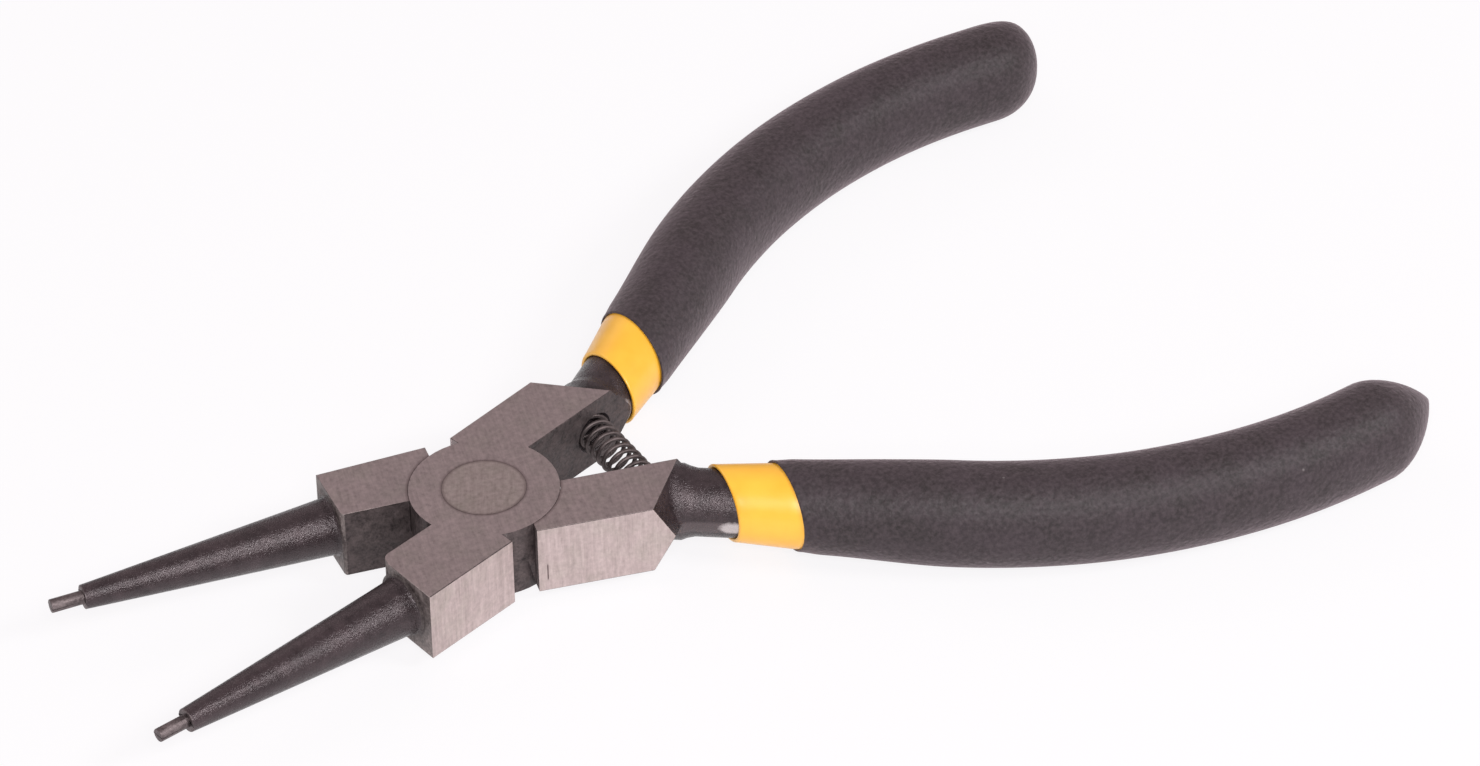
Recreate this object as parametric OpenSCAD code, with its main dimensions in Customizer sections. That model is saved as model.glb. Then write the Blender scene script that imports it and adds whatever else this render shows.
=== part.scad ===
// Circlip pliers for internal rings: two forged halves on a riveted lap joint, straight cone tips,
// a return spring between the shoulders and double dipped grips. Millimetres.
// +X runs from the pivot to the handles, Z is the pivot axis, z = 0 is the joint's lower ground face.
// Each half is drawn with its jaw and shoulder faces along X, then opened to the relaxed pose.

/* [Pose] */
// Angle of each half from the centre line with the spring relaxed
rest_half = 14.2; // [12:0.1:18]

/* [Head] */
// Thickness of the ground head
head_t = 10.15; // [9.8:0.05:12]
// Diameter of each lap disc
disc_d = 19.5; // [18:0.1:20]
// Radial room around a lap disc
disc_gap = 0.2; // [0.1:0.05:0.6]
// Room between the two lap faces
lap_gap = 0.04; // [0.02:0.01:0.2]
// Pivot axis to the step at the jaw's joint end
jaw_stop = 5; // [4:0.1:7]
// Pivot axis to the jaw's front face, at its inner corner
jaw_front = 18.7; // [15:0.1:25]
// How far the front face leans forward at its outer corner
jaw_lean = 1.1; // [0:0.1:2]
// Centre line to the jaw's inner face
jaw_in = 0.45; // [0.3:0.05:1.5]
// Centre line to the jaw's outer face at the joint end
jaw_out = 10.3; // [9.5:0.1:13]
// Centre line to the upper half's outer face at the front
upper_jaw_out = 10.6; // [9:0.1:13]
// Centre line to the lower half's outer face at the front, ground further
lower_jaw_out = 9.3; // [9:0.1:13]
// Rounding of the upper half's front inner edge
upper_jaw_round = 1.4; // [0.3:0.1:2]
// Rounding of the lower half's front inner edge
lower_jaw_round = 0.4; // [0.3:0.1:2]

/* [Shoulder] */
// Pivot axis to the step at the shoulder's joint end
back_stop = 4.05; // [3:0.05:6]
// Centre line to the shoulder's outer face at the joint end
back_out_joint = 10.45; // [9.5:0.05:13]
// Centre line to the shoulder's outer face at the handle end
back_out_end = 11.3; // [10:0.05:14]
// Centre line to the shoulder's inner face at the joint end
back_in_joint = 1.7; // [1:0.05:2.5]
// Centre line to the shoulder's inner face at the handle end
back_in_end = 2.2; // [1:0.05:3]
// Pivot axis to the outer corner where the flat faces end
back_end_out = 19.1; // [17:0.1:22]
// Pivot axis to the inner corner where the flat faces end
back_end_in = 25.2; // [24:0.1:30]
// How far the end runs out to the forging's parting line
ridge = 2.5; // [1:0.1:4]

/* [Tip] */
// Centre line to the cone's axis at the jaw's front face
cone_y = 4.85; // [4.3:0.05:6]
// Lean of the cone toward the centre line, degrees
cone_toe = 6.3; // [4:0.1:6.6]
// Diameter of the cone at the jaw
cone_root_d = 7.7; // [6:0.1:8.2]
// Diameter of the cone at its end
cone_end_d = 3.2; // [2.4:0.1:4]
// Length of the cone from the jaw
cone_l = 33.8; // [25:0.1:45]
// Fillet between the cone and the jaw
cone_fillet = 0.6; // [0.3:0.1:0.8]
// Diameter of the tip pin
pin_d = 1.8; // [1.2:0.1:2.3]
// Length of the tip pin
pin_l = 4.3; // [3:0.1:8]

/* [Rivet] */
// Diameter of the rivet's shank
rivet_d = 8; // [6:0.1:10]
// How far each flush head flares beyond the shank
rivet_flare = 1.45; // [0.8:0.05:2]
// Depth of each countersunk head
rivet_head_h = 1.5; // [0.8:0.1:2]
// Radial running room in the upper half
rivet_run = 0.05; // [0.02:0.01:0.1]
// Radial room in the lower half
rivet_seat = 0.02; // [0.01:0.01:0.1]

/* [Handle] */
// Diameter of the round handle bar
bar_d = 8.9; // [8:0.1:9]
// From the shoulder's inner end to the grip's mouth
mouth_gap = 4.6; // [4:0.05:10]
// Centre line to the bar's axis at the grip's mouth
mouth_y = 6.8; // [6.4:0.05:8]
// Angle of the straight part
bar_angle = 22.5; // [18:0.5:28]
// Straight part from the grip's mouth to the bow
bar_straight = 29.5; // [20:0.1:45]
// Radius of the bow
bow_r = 80; // [60:1:120]
// Angle turned by the bow
bow_turn = 40.5; // [30:0.5:44]
// Straight part behind the bow
bar_tail = 1.3; // [0.5:0.1:12]
// Fillet where the bar leaves the shoulder
neck_fillet = 5.6; // [3:0.1:8]
// How far the fillet rises from the bar
neck_rise = 0.55; // [0.2:0.05:0.6]
// Plain bar in front of the grip's mouth
neck_at = 2.6; // [1:0.1:3.5]
// How far the upper handle is set outward at the grip's mouth
upper_set = 0.6; // [-1:0.05:1]
// Angle at which the upper handle is set, degrees
upper_tilt = -0.75; // [-1.5:0.05:1.5]

/* [Grips] */
// Wall of the yellow sleeve at its mouth
inner_lip = 0.5; // [0.4:0.05:1.5]
// Wall of the yellow sleeve under the black one
inner_wall = 1.05; // [0.6:0.05:2]
// Length of the yellow band in sight
band_l = 8; // [6:0.1:15]
// Lean of the dip lines away from a square cut, degrees
dip_lean = 28; // [0:1:35]
// Room between a sleeve and what it covers
sleeve_gap = 0.04; // [0.02:0.01:0.1]
// Extra wall of the yellow sleeve at its closed end
inner_cap = 1.7; // [0.5:0.1:4]
// Wall of the black grip at its mouth
grip_lip = 0.3; // [0.25:0.05:1]
// Width added to each side where the black grip is full
grip_side = 0.95; // [0.5:0.05:3]
// Height added above and below where the black grip is full
grip_top = 1.4; // [0.5:0.05:3]
// Length over which the black grip swells
grip_swell = 22; // [10:1:40]
// Squareness of the black section, 2 is an ellipse
grip_power = 2.2; // [2:0.05:3]
// Share by which the black grip narrows toward its end
grip_taper = 0.02; // [0:0.01:0.1]
// Bluntness of the upper grip's end, 1 is half an ellipse and less is blunter
upper_nose = 0.5; // [0.4:0.05:1.4]
// How far the upper grip's end bulges outward
upper_bulge = 1.9; // [-2:0.1:2]
// Extra wall at the upper grip's end
upper_cap = 2.8; // [1.5:0.05:5]
// Length of the upper grip's blunt end
upper_dome = 8; // [6:0.5:12]
// Bluntness of the lower grip's end
lower_nose = 1.35; // [0.4:0.05:1.4]
// How far the lower grip's end bulges outward
lower_bulge = -0.8; // [-2:0.1:2]
// Extra wall at the lower grip's end
lower_cap = 3.8; // [1.5:0.05:5]
// Length of the lower grip's end
lower_dome = 10; // [6:0.5:12]

/* [Spring] */
// Outer diameter
spring_d = 5; // [3.5:0.1:6]
// Wire diameter
wire_d = 0.6; // [0.4:0.05:0.8]
// Turns, with a closed one at each end
turns = 15; // [8:1:16]
// Pivot axis to the spring's axis
spring_x = 20.7; // [18:0.1:21]
// Depth of the pocket below the shoulder's inner face
pocket_depth = 2.8; // [1.5:0.1:3.5]
// Radial room around the spring in its pocket
pocket_room = 0.35; // [0.15:0.05:0.6]
// Room at each end of the spring
spring_gap = 0.05; // [0.02:0.01:0.2]

/* [Hidden] */
$fn = 96;
h = head_t / 2;
disc_r = disc_d / 2;
bar_r = bar_d / 2;
inner_r = bar_r + inner_wall;
past = 30;
bar_root = 7;
neck_l = 8;
root_in = 0.5;
tuck = 0.05;
bow_step = 0.01;
bow_lap = 0.3;
steel = [0.56, 0.54, 0.53];
bright = [0.72, 0.70, 0.69];
dark = [0.25, 0.24, 0.24];
yellow = [0.98, 0.77, 0.20];
black = [0.16, 0.16, 0.17];

// Where the halves stand in the assembly

module place_upper() {
    translate([0, 0, h]) rotate(rest_half) children();
}

module place_lower() {
    translate([0, 0, h]) rotate([180, 0, 0]) rotate(rest_half) children();
}

// Handle centre line: straight, bow, straight

mouth = [back_end_in + mouth_gap, mouth_y];
bow_start = mouth + bar_straight * [cos(bar_angle), sin(bar_angle)];
bow_mid = bow_start + bow_r * [sin(bar_angle), -cos(bar_angle)];
tail_angle = bar_angle - bow_turn;
bow_end = bow_mid + bow_r * [-sin(tail_angle), cos(tail_angle)];
bow_l = bow_r * bow_turn * PI / 180;

function turn_at(s) =
    s < bar_straight ? bar_angle
    : s < bar_straight + bow_l ? bar_angle - (s - bar_straight) / bow_r * 180 / PI
    : tail_angle;
function point_at(s) =
    s < bar_straight ? mouth + s * [cos(bar_angle), sin(bar_angle)]
    : s < bar_straight + bow_l ? bow_mid + bow_r * [-sin(turn_at(s)), cos(turn_at(s))]
    : bow_end + (s - bar_straight - bow_l) * [cos(tail_angle), sin(tail_angle)];

// Frames on the handle: the bow's end, and a place on the straight part looking back to the head

module at_bow() {
    translate(bow_mid) rotate(90 + tail_angle) children();
}

module at_straight(s) {
    at_bow() rotate(bow_turn) translate([bow_r, bar_straight - s, 0]) rotate([-90, 0, 0]) children();
}

// A handle as it is set by hand, turned about the grip's mouth
module set_by(out, tilt) {
    translate([mouth[0] - out * sin(bar_angle), mouth[1] + out * cos(bar_angle), 0]) rotate(tilt)
        translate([-mouth[0], -mouth[1], 0]) children();
}

// Round bar along the handle's centre line, from a place before the bow to a round end
module bar(r, from, tail) {
    bow = r - bow_step;
    at_bow() {
        rotate_extrude(angle = bow_turn) translate([bow_r, 0]) circle(r = bow);
        translate([bow_r, 0, 0]) rotate([90, 0, 0]) cylinder(r = bow, h = tail);
        translate([bow_r, -tail, 0]) sphere(r = bow);
    }
    at_straight(bar_straight + bow_lap) cylinder(r = r, h = bar_straight + bow_lap - from);
}

// Forged half, drawn with its lap disc on top

module jaw_plan(front_out, edge) {
    difference() {
        polygon([
            [-jaw_stop, -jaw_out], [-jaw_stop, -jaw_in], [-jaw_front, -jaw_in],
            [-jaw_front - jaw_lean, -front_out]
        ]);
        translate([-jaw_front - 1, -jaw_in - edge]) difference() {
            square([1 + edge, edge + 1]);
            translate([1 + edge, 0]) circle(r = edge);
        }
    }
}

module cone_tip() {
    face = jaw_front + jaw_lean * (cone_y - jaw_in) / (jaw_out - jaw_in);
    translate([root_in - face, -cone_y, 0]) rotate(180 - cone_toe) rotate([0, 90, 0]) {
        cylinder(d1 = cone_root_d, d2 = cone_end_d, h = root_in + cone_l);
        cylinder(d = pin_d, h = root_in + cone_l + pin_l);
        translate([0, 0, root_in / 2]) rotate_extrude() difference() {
            square([cone_root_d / 2 + cone_fillet * 0.9, root_in / 2 + cone_fillet]);
            translate([cone_root_d / 2 + cone_fillet * 0.9, root_in / 2 + cone_fillet])
                circle(r = cone_fillet);
        }
    }
}

module jaw(front_out, edge) {
    translate([0, 0, -h]) linear_extrude(head_t) jaw_plan(front_out, edge);
    cone_tip();
}

module shoulder() {
    edge = [back_end_in - back_end_out, back_in_end - back_out_end];
    intersection() {
        translate([0, 0, -h]) linear_extrude(head_t) polygon([
            [back_stop, 0], [back_end_in + ridge * 3, 0],
            [back_end_out + ridge * 2, back_out_end], [back_stop, back_out_joint]
        ]);
        translate([back_end_out, back_out_end, 0]) rotate(atan2(edge[1], edge[0]))
            translate([-past, 0, 0]) rotate([90, 0, 90]) linear_extrude(past * 3)
                polygon([[-past, -h], [0, -h], [ridge, 0], [0, h], [-past, h]]);
    }
}

module neck() {
    at_straight(-neck_at) rotate_extrude() difference() {
        square([bar_r + neck_rise, neck_l]);
        translate([bar_r + neck_fillet - tuck, 0]) circle(r = neck_fillet);
    }
}

module inner_face() {
    translate([0, 0, -h - 1]) linear_extrude(head_t + 2) polygon([
        [back_stop - 1, -past], [mouth[0] + 2, -past], [mouth[0] + 2, back_in_end],
        [back_end_in, back_in_end], [disc_r, back_in_joint], [back_stop - 1, back_in_joint]
    ]);
}

// Height of the inner face above the centre line at the spring, in the relaxed pose
function turned(p) = [
    p[0] * cos(rest_half) - p[1] * sin(rest_half), p[0] * sin(rest_half) + p[1] * cos(rest_half)
];
face_a = turned([disc_r, back_in_joint]);
face_b = turned([back_end_in, back_in_end]);
face_y = face_a[1] + (face_b[1] - face_a[1]) * (spring_x - face_a[0]) / (face_b[0] - face_a[0]);
pocket_y = face_y + pocket_depth;

module half(front_out, edge, rivet_room, out = 0, tilt = 0) {
    difference() {
        union() {
            translate([0, 0, -h]) cylinder(r = disc_r, h = head_t);
            jaw(front_out, edge);
            difference() {
                union() {
                    shoulder();
                    set_by(out, tilt) {
                        neck();
                        bar(bar_r, -neck_at - bar_root, bar_tail);
                    }
                }
                inner_face();
            }
        }
        translate([0, 0, -h - 1]) cylinder(r = disc_r + disc_gap, h = h + 1 + lap_gap / 2);
        translate([0, 0, -1]) cylinder(d = rivet_d + 2 * rivet_room, h = head_t);
        translate([0, 0, h - rivet_head_h]) cylinder(
            r1 = rivet_d / 2 + rivet_room, r2 = rivet_d / 2 + rivet_flare + rivet_room, h = rivet_head_h
        );
        rotate(-rest_half) translate([spring_x, 0, 0]) rotate([-90, 0, 0])
            cylinder(r = spring_d / 2 + pocket_room, h = pocket_y);
    }
}

module upper_half() {
    color(steel) place_upper() half(upper_jaw_out, upper_jaw_round, rivet_run, upper_set, upper_tilt);
}

module lower_half() {
    color(steel) place_lower() half(lower_jaw_out, lower_jaw_round, rivet_seat);
}

// Rivet with a flush countersunk head at both faces

module pivot_rivet() {
    head_r = rivet_d / 2 + rivet_flare;
    color(bright) {
        cylinder(d = rivet_d, h = head_t);
        cylinder(r1 = head_r, r2 = rivet_d / 2, h = rivet_head_h);
        translate([0, 0, head_t - rivet_head_h]) cylinder(r1 = rivet_d / 2, r2 = head_r, h = rivet_head_h);
    }
}

// Spring, wound along Y between the two pocket floors

spring_l = 2 * (pocket_y - spring_gap) - wire_d;
closed_pitch = wire_d * 1.03;
pitch = (spring_l - 2 * closed_pitch) / (turns - 2);
coil_r = (spring_d - wire_d) / 2;
coil_steps = 16;
wire_sides = 8;

function coil_y(t) =
    t < 1 ? t * closed_pitch
    : t < turns - 1 ? closed_pitch + (t - 1) * pitch
    : spring_l - (turns - t) * closed_pitch;
function coil_point(t, a) =
    let (r = coil_r + wire_d / 2 * cos(a))
    [r * cos(360 * t), coil_y(t) - spring_l / 2 + wire_d / 2 * sin(a), r * sin(360 * t)];

module return_spring() {
    count = turns * coil_steps;
    points = [for (i = [0 : count]) for (k = [0 : wire_sides - 1])
        coil_point(i / coil_steps, 360 * k / wire_sides)];
    walls = [for (i = [0 : count - 1]) for (k = [0 : wire_sides - 1])
        let (n = (k + 1) % wire_sides, a = i * wire_sides, b = a + wire_sides)
        each [[a + k, a + n, b + n], [a + k, b + n, b + k]]];
    first = [for (k = [0 : wire_sides - 1]) wire_sides - 1 - k];
    last = [for (k = [0 : wire_sides - 1]) count * wire_sides + k];
    color(dark) translate([spring_x, 0, h]) polyhedron(points, concat(walls, [first, last]), convexity = 10);
}

// Yellow sleeve on the bar

inner_tail = bar_tail + inner_cap;

dip_l = (inner_r + 1) * tan(dip_lean) + 1;

module grip_inner() {
    difference() {
        union() {
            at_straight(band_l) cylinder(r1 = inner_r, r2 = bar_r + inner_lip, h = band_l);
            at_straight(0) cylinder(r = bar_r + inner_lip, h = dip_l);
            bar(inner_r, band_l, inner_tail);
        }
        bar(bar_r + sleeve_gap, -dip_l - 1, bar_tail);
        at_straight(0) rotate([0, dip_lean, 0])
            translate([-past, -past, 0]) cube([2 * past, 2 * past, past]);
    }
}

module upper_grip_inner() {
    color(yellow) place_upper() set_by(upper_set, upper_tilt) grip_inner();
}

module lower_grip_inner() {
    color(yellow) place_lower() grip_inner();
}

// Black grip over the yellow sleeve: rings down the bore, across the mouth and out to the blunt end

grip_sides = 28;
bore_r = (inner_r + sleeve_gap + 0.06) / cos(180 / grip_sides);
bore_end = bar_straight + bow_l + inner_tail;
bore_steps = 12;
skin_steps = 14;
lip_l = 0.5;

function smooth(t) = let (c = max(0, min(1, t))) c * c * (3 - 2 * c);
function full_at(s) = smooth((s - band_l) / grip_swell);
function grown(s, full) =
    let (lip = bore_r + grip_lip)
    lip + (inner_r + full - lip) * (0.25 * smooth((s - band_l) / 3) + 0.75 * full_at(s));
function bent(v) = sign(v) * pow(abs(v), 2 / grip_power);
function ring_at(s, w, t, soft, shift = 0) =
    let (c = point_at(s), a = turn_at(s), lean = tan(dip_lean) * (1 - full_at(s)))
    [for (k = [0 : grip_sides - 1])
        let (
            x = cos(360 * k / grip_sides),
            y = sin(360 * k / grip_sides),
            u = shift + w * (x + (bent(x) - x) * soft),
            v = t * (y + (bent(y) - y) * soft)
        )
        [c[0] - u * sin(a) + u * lean * cos(a), c[1] + u * cos(a) + u * lean * sin(a), v]];
function narrow(s) = 1 - grip_taper * smooth((s - bar_straight) / (bore_end - bar_straight));
function skin_ring(s, f, shift = 0) =
    let (g = f * narrow(s))
    ring_at(s, g * grown(s, grip_side), g * grown(s, grip_top), full_at(s), shift);
function tip_point(s, shift) =
    [point_at(s)[0] - shift * sin(turn_at(s)), point_at(s)[1] + shift * cos(turn_at(s)), 0];

module grip_outer(nose, bulge, cap, dome) {
    grip_end = bore_end + inner_r + cap;
    dome_at = grip_end - dome;
    lip = bore_r + grip_lip * 0.4;
    rings = concat(
        [for (e = [80, 60, 40, 20]) ring_at(bore_end + bore_r * sin(e), bore_r * cos(e), bore_r * cos(e), 0)],
        [for (i = [0 : bore_steps])
            ring_at(bore_end - (bore_end - band_l) * i / bore_steps, bore_r, bore_r, 0)],
        [ring_at(band_l, lip, lip, 0)],
        [for (i = [0 : skin_steps]) let (s = band_l + lip_l) skin_ring(s + (dome_at - s) * i / skin_steps, 1)],
        [for (e = [15, 30, 45, 60, 75])
            skin_ring(dome_at + dome * sin(e), pow(cos(e), nose), bulge * pow(sin(e), 2))]
    );
    count = len(rings);
    points = concat([for (r = rings) each r], [tip_point(bore_end + bore_r, 0), tip_point(grip_end, bulge)]);
    walls = [for (i = [0 : count - 2]) for (k = [0 : grip_sides - 1])
        let (n = (k + 1) % grip_sides, a = i * grip_sides, b = a + grip_sides)
        each [[a + k, b + n, a + n], [a + k, b + k, b + n]]];
    last = (count - 1) * grip_sides;
    first_cap = [for (k = [0 : grip_sides - 1]) [k, (k + 1) % grip_sides, count * grip_sides]];
    last_cap = [for (k = [0 : grip_sides - 1])
        [last + k, count * grip_sides + 1, last + (k + 1) % grip_sides]];
    polyhedron(points, concat(walls, first_cap, last_cap), convexity = 10);
}

module upper_grip_outer() {
    color(black) place_upper() set_by(upper_set, upper_tilt)
        grip_outer(upper_nose, upper_bulge, upper_cap, upper_dome);
}

module lower_grip_outer() {
    color(black) place_lower() grip_outer(lower_nose, lower_bulge, lower_cap, lower_dome);
}

upper_half();
lower_half();
pivot_rivet();
return_spring();
upper_grip_inner();
lower_grip_inner();
upper_grip_outer();
lower_grip_outer();
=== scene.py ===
import math
import bmesh
import bpy
import numpy as np
from mathutils import Matrix, Vector, noise


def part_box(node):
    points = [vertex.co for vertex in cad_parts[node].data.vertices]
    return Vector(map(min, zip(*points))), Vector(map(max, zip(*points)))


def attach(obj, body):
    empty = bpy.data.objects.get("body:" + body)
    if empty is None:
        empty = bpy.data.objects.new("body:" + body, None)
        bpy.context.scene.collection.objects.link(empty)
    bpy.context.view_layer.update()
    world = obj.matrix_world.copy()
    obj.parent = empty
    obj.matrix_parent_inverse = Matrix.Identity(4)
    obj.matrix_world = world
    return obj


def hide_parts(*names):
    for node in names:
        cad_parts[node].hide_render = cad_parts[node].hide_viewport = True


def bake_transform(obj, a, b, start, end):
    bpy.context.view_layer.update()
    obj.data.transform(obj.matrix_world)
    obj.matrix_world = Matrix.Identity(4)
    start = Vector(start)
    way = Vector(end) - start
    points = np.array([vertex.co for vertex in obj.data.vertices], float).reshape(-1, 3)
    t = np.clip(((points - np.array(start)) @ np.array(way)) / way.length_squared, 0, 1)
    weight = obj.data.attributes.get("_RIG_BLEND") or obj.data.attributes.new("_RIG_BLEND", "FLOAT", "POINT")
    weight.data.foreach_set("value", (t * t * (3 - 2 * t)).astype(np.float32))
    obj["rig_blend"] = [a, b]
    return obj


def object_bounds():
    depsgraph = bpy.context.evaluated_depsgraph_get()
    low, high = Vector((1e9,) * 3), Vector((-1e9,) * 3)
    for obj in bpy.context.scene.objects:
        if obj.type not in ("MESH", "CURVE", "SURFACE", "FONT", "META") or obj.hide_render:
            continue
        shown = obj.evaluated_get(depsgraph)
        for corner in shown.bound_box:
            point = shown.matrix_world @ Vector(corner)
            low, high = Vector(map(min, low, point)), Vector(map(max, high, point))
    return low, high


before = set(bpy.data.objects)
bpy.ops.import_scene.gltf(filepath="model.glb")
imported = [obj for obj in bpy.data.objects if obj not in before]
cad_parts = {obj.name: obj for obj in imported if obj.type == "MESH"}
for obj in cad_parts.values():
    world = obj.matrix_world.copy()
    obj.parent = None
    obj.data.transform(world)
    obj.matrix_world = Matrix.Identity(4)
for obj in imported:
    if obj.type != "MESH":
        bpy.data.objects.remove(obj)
cad_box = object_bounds()

# Sizes shared with the CAD source, in millimetres and radians, one for each half where they differ
MM = 0.001
HALVES = ("upper", "lower")
FLIP = {"upper": 1, "lower": -1}
HALF_T = 5.075
REST_HALF = math.radians(14.2)
BAR_R = 4.45
MOUTH = np.array([29.8, 6.8])
BAR_ANGLE = math.radians(22.5)
BAR_STRAIGHT = 29.5
BOW_R = 80.0
BOW_TURN = math.radians(40.5)
BAR_TAIL = 1.3
INNER_LIP = 0.5
INNER_WALL = 1.05
INNER_CAP = 1.7
BAND_L = 8.0
DIP_LEAN = math.tan(math.radians(28))
SLEEVE_GAP = 0.04
GRIP_LIP = 0.3
GRIP_SIDE = 0.95
GRIP_TOP = 1.4
GRIP_SWELL = 22.0
GRIP_POWER = 2.2
GRIP_TAPER = 0.02
BULGE = {"upper": 1.9, "lower": -0.8}
CAP = {"upper": 2.8, "lower": 3.8}
DOME = {"upper": 8.0, "lower": 10.0}
HANDLE_SET = {"upper": 0.6, "lower": 0.0}
HANDLE_TILT = {"upper": math.radians(-0.75), "lower": 0.0}
RIVET_HEAD_R = 5.45
DISC_R = 9.75
DISC_GAP = 0.2
SPRING_X = 20.7
SPRING_R = 2.2
WIRE_R = 0.3
TURNS = 15
JAW_STOP = 5.0
JAW_OUT = 10.3
JAW_END_OUT = {"upper": 10.6, "lower": 9.3}
BACK_STOP = 4.05
BACK_OUT_JOINT = 10.45
BACK_OUT_END = 11.3
CONE_Y = -4.85

# Handle centre line, the same straight and bow as the CAD source
ALONG = np.array([math.cos(BAR_ANGLE), math.sin(BAR_ANGLE)])
BOW_START = MOUTH + BAR_STRAIGHT * ALONG
BOW_MID = BOW_START + BOW_R * np.array([math.sin(BAR_ANGLE), -math.cos(BAR_ANGLE)])
TAIL_ANGLE = BAR_ANGLE - BOW_TURN
BOW_L = BOW_R * BOW_TURN
BOW_END = BOW_MID + BOW_R * np.array([-math.sin(TAIL_ANGLE), math.cos(TAIL_ANGLE)])


def turn_at(s):
    if s < BAR_STRAIGHT:
        return BAR_ANGLE
    if s < BAR_STRAIGHT + BOW_L:
        return BAR_ANGLE - (s - BAR_STRAIGHT) / BOW_R
    return TAIL_ANGLE


def point_at(s):
    a = turn_at(s)
    if s < BAR_STRAIGHT:
        return MOUTH + s * ALONG
    if s < BAR_STRAIGHT + BOW_L:
        return BOW_MID + BOW_R * np.array([-math.sin(a), math.cos(a)])
    return BOW_END + (s - BAR_STRAIGHT - BOW_L) * np.array([math.cos(a), math.sin(a)])


def smooth(t):
    c = max(0.0, min(1.0, t))
    return c * c * (3 - 2 * c)


# A handle as it is set by hand, turned about the grip's mouth
def set_by(p, side):
    c = math.cos(HANDLE_TILT[side])
    s = math.sin(HANDLE_TILT[side])
    out = HANDLE_SET[side]
    x = p[:, 0] - MOUTH[0]
    y = p[:, 1] - MOUTH[1]
    return np.column_stack([
        MOUTH[0] - out * ALONG[1] + x * c - y * s,
        MOUTH[1] + out * ALONG[0] + x * s + y * c,
        p[:, 2],
    ])


# Places of a half's own drawing in the assembly, and back again
def to_row(p, side):
    c = math.cos(REST_HALF)
    s = math.sin(REST_HALF)
    x = p[:, 0] * c - p[:, 1] * s
    y = p[:, 0] * s + p[:, 1] * c
    return np.column_stack([x, FLIP[side] * y, FLIP[side] * p[:, 2] + HALF_T]) * MM


def turned_back(v, side):
    c = math.cos(REST_HALF)
    s = math.sin(REST_HALF)
    y = FLIP[side] * v.y
    return Vector((v.x * c + y * s, y * c - v.x * s, FLIP[side] * v.z))


def to_half(v, side):
    return turned_back(v - Vector((0, 0, HALF_T * MM)), side) / MM


# A place of a half's own drawing seen from its bar: along the bar from the mouth, and outward from its axis
def bar_frame(p, side):
    d = np.array([p.x, p.y]) - MOUTH
    s = d @ ALONG
    u = d[1] * ALONG[0] - d[0] * ALONG[1]
    return s, u - HANDLE_SET[side] - s * HANDLE_TILT[side]


# Mesh helpers: an object in the scene, a smooth mesh, and a skin over closed rings with a tip at each end
def add_object(name, data):
    obj = bpy.data.objects.new(name, data)
    bpy.context.scene.collection.objects.link(obj)
    return obj


def mesh_piece(name, verts, faces):
    me = bpy.data.meshes.new(name)
    me.from_pydata([tuple(v) for v in verts], [], faces)
    me.validate()
    me.shade_smooth()
    return add_object(name, me)


def loft(rings, first_tip, last_tip):
    n = len(rings[0])
    verts = np.concatenate(rings + [np.array([first_tip, last_tip])])
    faces = []
    for i in range(len(rings) - 1):
        a = i * n
        b = a + n
        for k in range(n):
            m = (k + 1) % n
            faces.append((a + k, b + k, b + m, a + m))
    top = (len(rings) - 1) * n
    tip = len(rings) * n
    for k in range(n):
        m = (k + 1) % n
        faces.append((tip, k, m))
        faces.append((tip + 1, top + m, top + k))
    return verts, faces


# Rings across the handle's centre line, round or squared off, leaning with the dip line
RING_SIDES = 72
ROUND = np.linspace(0, 2 * math.pi, RING_SIDES, endpoint=False)
COS = np.cos(ROUND)
SIN = np.sin(ROUND)


def bent(v):
    return np.sign(v) * np.abs(v) ** (2 / GRIP_POWER)


def ring_at(s, w, t, square=0.0, lean=0.0, shift=0.0):
    c = point_at(s)
    a = turn_at(s)
    u = shift + w * (COS + (bent(COS) - COS) * square)
    v = t * (SIN + (bent(SIN) - SIN) * square)
    x = c[0] - u * math.sin(a) + u * lean * math.cos(a)
    y = c[1] + u * math.cos(a) + u * lean * math.sin(a)
    return np.column_stack([x, y, v])


def tip_at(s, shift=0.0):
    c = point_at(s)
    a = turn_at(s)
    return np.array([c[0] - shift * math.sin(a), c[1] + shift * math.cos(a), 0])


def lean_at(s, mouth):
    return DIP_LEAN * (1 - smooth((s - mouth) / GRIP_SWELL))


# What both sleeves share: the round end of the bore, the bore down to the mouth, and the rounded lip
INNER_R = BAR_R + INNER_WALL
INNER_END = BAR_STRAIGHT + BOW_L + BAR_TAIL
BORE_R = INNER_R + SLEEVE_GAP
BORE_END = INNER_END + INNER_CAP
END_TURNS = [math.radians(e) for e in (20, 40, 60, 80)]
BORE_STEPS = 40
LIP_STEPS = 6


def round_end(at, r, turns):
    rings = []
    for e in turns:
        c = r * math.cos(e)
        rings.append(ring_at(at + r * math.sin(e), c, c))
    return rings


def bore_rings(r, end, mouth, lip_w, lip_l):
    rings = round_end(end, r, reversed(END_TURNS))
    for s in np.linspace(end, mouth + lip_l, BORE_STEPS):
        rings.append(ring_at(s, r, r, lean=lean_at(s, mouth)))
    half = lip_w / 2
    for i in range(1, LIP_STEPS + 1):
        e = math.pi * i / LIP_STEPS
        c = r + half - half * math.cos(e)
        s = mouth + lip_l - lip_l * math.sin(e)
        rings.append(ring_at(s, c, c, lean=lean_at(s, mouth)))
    return rings


# Yellow sleeve: its bore, the band that thickens from the lip, and the rest up to the round end
INNER_MOUTH = 0.0
INNER_LIP_L = 0.25
BAND_FROM = 0.7
BAND_TO = BAND_L + 2
BAND_STEPS = 14
COVERED_FROM = BAND_L + 4
COVERED_STEPS = 36


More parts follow.
